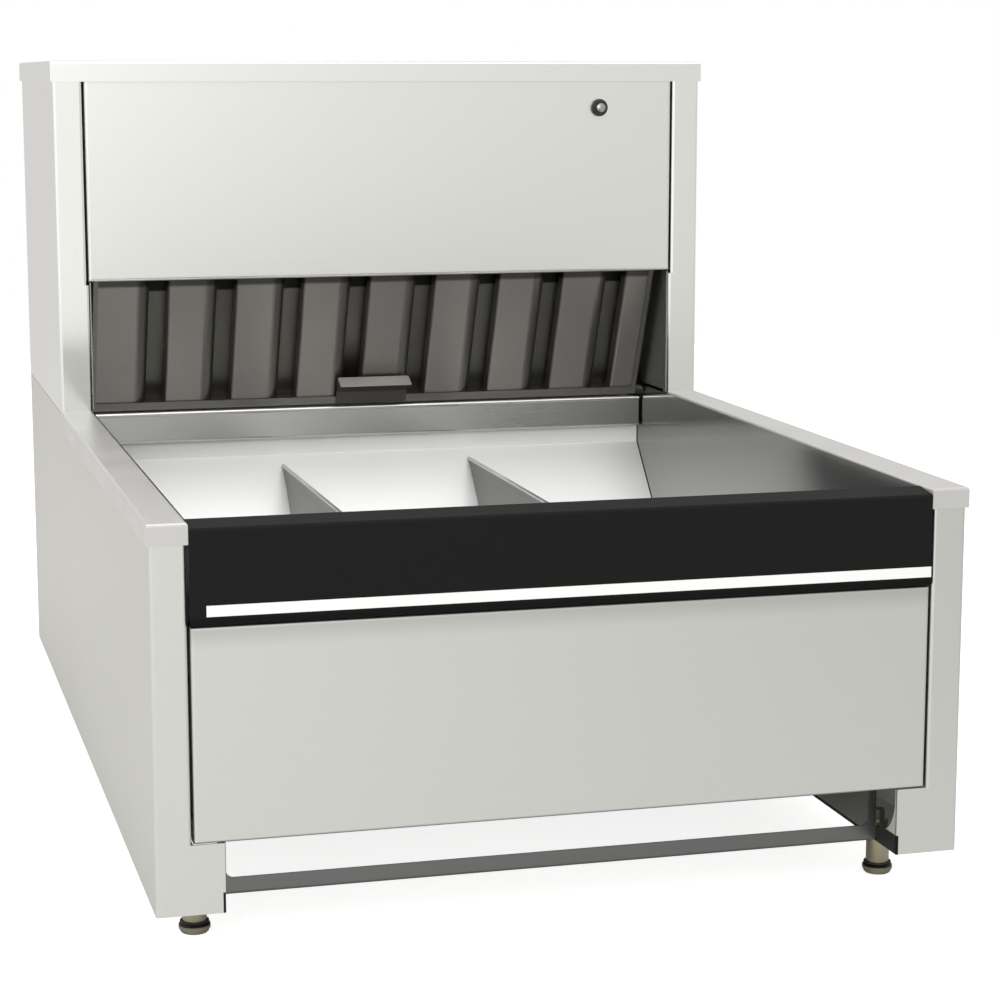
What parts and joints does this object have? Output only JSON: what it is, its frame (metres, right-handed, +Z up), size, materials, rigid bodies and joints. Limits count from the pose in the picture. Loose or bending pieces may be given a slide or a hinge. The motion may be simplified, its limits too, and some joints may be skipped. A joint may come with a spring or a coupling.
{
  "type": "chip warmer",
  "caption": "Countertop chip warmer: stainless cabinet with a sloped, divided well over lift-out perforated screens, and a rear hood with a baffle filter, blower and heater.",
  "frame": {"origin": "middle of the underside of the feet, on the counter, at the centre of the object's box", "axes": "+X to the right seen from the open front, +Y from the front to the rear, +Z up"},
  "size_m": [0.5652, 0.87, 0.5803],
  "materials": {
    "casing_steel": "satin stainless sheet",
    "well_steel": "bright stainless sheet",
    "inner_steel": "satin stainless sheet",
    "divider_steel": "satin stainless sheet",
    "filter_steel": "dull warm grey stainless",
    "band_black": "satin black",
    "stripe_white": "white film",
    "zinc_steel": "zinc plated",
    "heater_sheath": "dark oxidised sheath",
    "button_metal": "polished metal",
    "motor_paint": "dark grey paint",
    "black_plastic": "matt black",
    "mineral_wool": "pale yellow fibre",
    "foot_metal": "dull cast metal"
  },
  "bodies": {
    "cabinet": {"side_left": "casing_steel", "side_right": "casing_steel", "deck_cap_left": "casing_steel", "deck_cap_right": "casing_steel", "hood_side_left": "casing_steel", "hood_side_right": "casing_steel", "hood_cap": "casing_steel", "hood_door": "casing_steel", "hood_back": "casing_steel", "base_back": "casing_steel", "base_pan": "casing_steel", "crossbar_front": "inner_steel", "crossbar_rear": "inner_steel", "front_panel": "casing_steel", "front_band": "band_black", "band_stripe": "stripe_white", "well_front": "well_steel", "well_rear": "well_steel", "well_wall_left": "well_steel", "well_wall_right": "well_steel", "filter_gutter": "inner_steel", "plenum_side_left": "inner_steel", "plenum_side_right": "inner_steel", "plenum_roof": "inner_steel", "plenum_back": "inner_steel", "air_duct": "inner_steel", "heater_elements": "heater_sheath", "heater_flange": "zinc_steel", "blower_scroll": "zinc_steel", "scroll_back": "zinc_steel", "blower_motor": "motor_paint", "terminal_block": "black_plastic", "thermostat": "black_plastic", "limit_thermostat": "black_plastic", "insulation": "mineral_wool", "switch_housing": "black_plastic", "switch_nut": "zinc_steel", "cord_gland": "black_plastic", "foot_barrels": "foot_metal", "foot_nuts": "zinc_steel", "panel_screws": "zinc_steel", "wiring": "black_plastic"},
    "power_button": {"switch_button": "button_metal"},
    "blower_rotor": {"blower_wheel": "zinc_steel", "motor_shaft": "zinc_steel"},
    "filter": {"filter_frame": "filter_steel", "front_baffles": "filter_steel", "rear_baffles": "filter_steel", "filter_handle": "inner_steel"},
    "tray": {"crumb_tray": "inner_steel", "tray_rails": "inner_steel"},
    "left_screen": {"screen_left": "inner_steel"},
    "centre_screen": {"screen_centre": "inner_steel"},
    "right_screen": {"screen_right": "inner_steel"},
    "left_divider": {"divider_left": "divider_steel"},
    "right_divider": {"divider_right": "divider_steel"},
    "front_left_foot": {"foot_tip_front_left": "foot_metal"},
    "front_right_foot": {"foot_tip_front_right": "foot_metal"},
    "rear_left_foot": {"foot_tip_rear_left": "foot_metal"},
    "rear_right_foot": {"foot_tip_rear_right": "foot_metal"}
  },
  "joints": [
    {"name": "blower_spin", "type": "hinge", "parent": "cabinet", "child": "blower_rotor", "pos_m": [0, 0.29, 0.4], "axis": [0, 1, 0], "continuous": true},
    {"name": "power_button_press", "type": "slide", "parent": "cabinet", "child": "power_button", "axis": [0, 1, 0], "range_m": [0, 0.003], "stiffness_N_per_m": 700, "springref_m": -0.001},
    {"name": "filter_draw", "type": "slide", "parent": "cabinet", "child": "filter", "axis": [0, -0.9159, -0.4015], "range_m": [0, 0.12]},
    {"name": "tray_lift", "type": "slide", "parent": "cabinet", "child": "tray", "axis": [0, -0.454, 0.891], "range_m": [0, 0.3]},
    {"name": "left_screen_lift", "type": "slide", "parent": "tray", "child": "left_screen", "axis": [0, -0.454, 0.891], "range_m": [0, 0.25]},
    {"name": "centre_screen_lift", "type": "slide", "parent": "tray", "child": "centre_screen", "axis": [0, -0.454, 0.891], "range_m": [0, 0.25]},
    {"name": "right_screen_lift", "type": "slide", "parent": "tray", "child": "right_screen", "axis": [0, -0.454, 0.891], "range_m": [0, 0.25]},
    {"name": "left_divider_lift", "type": "slide", "parent": "tray", "child": "left_divider", "axis": [0, -0.454, 0.891], "range_m": [0, 0.3]},
    {"name": "right_divider_lift", "type": "slide", "parent": "tray", "child": "right_divider", "axis": [0, -0.454, 0.891], "range_m": [0, 0.3]},
    {"name": "front_left_foot_level", "type": "slide", "parent": "cabinet", "child": "front_left_foot", "axis": [0, 0, -1], "range_m": [0, 0.012]},
    {"name": "front_right_foot_level", "type": "slide", "parent": "cabinet", "child": "front_right_foot", "axis": [0, 0, -1], "range_m": [0, 0.012]},
    {"name": "rear_left_foot_level", "type": "slide", "parent": "cabinet", "child": "rear_left_foot", "axis": [0, 0, -1], "range_m": [0, 0.012]},
    {"name": "rear_right_foot_level", "type": "slide", "parent": "cabinet", "child": "rear_right_foot", "axis": [0, 0, -1], "range_m": [0, 0.012]}
  ]
}
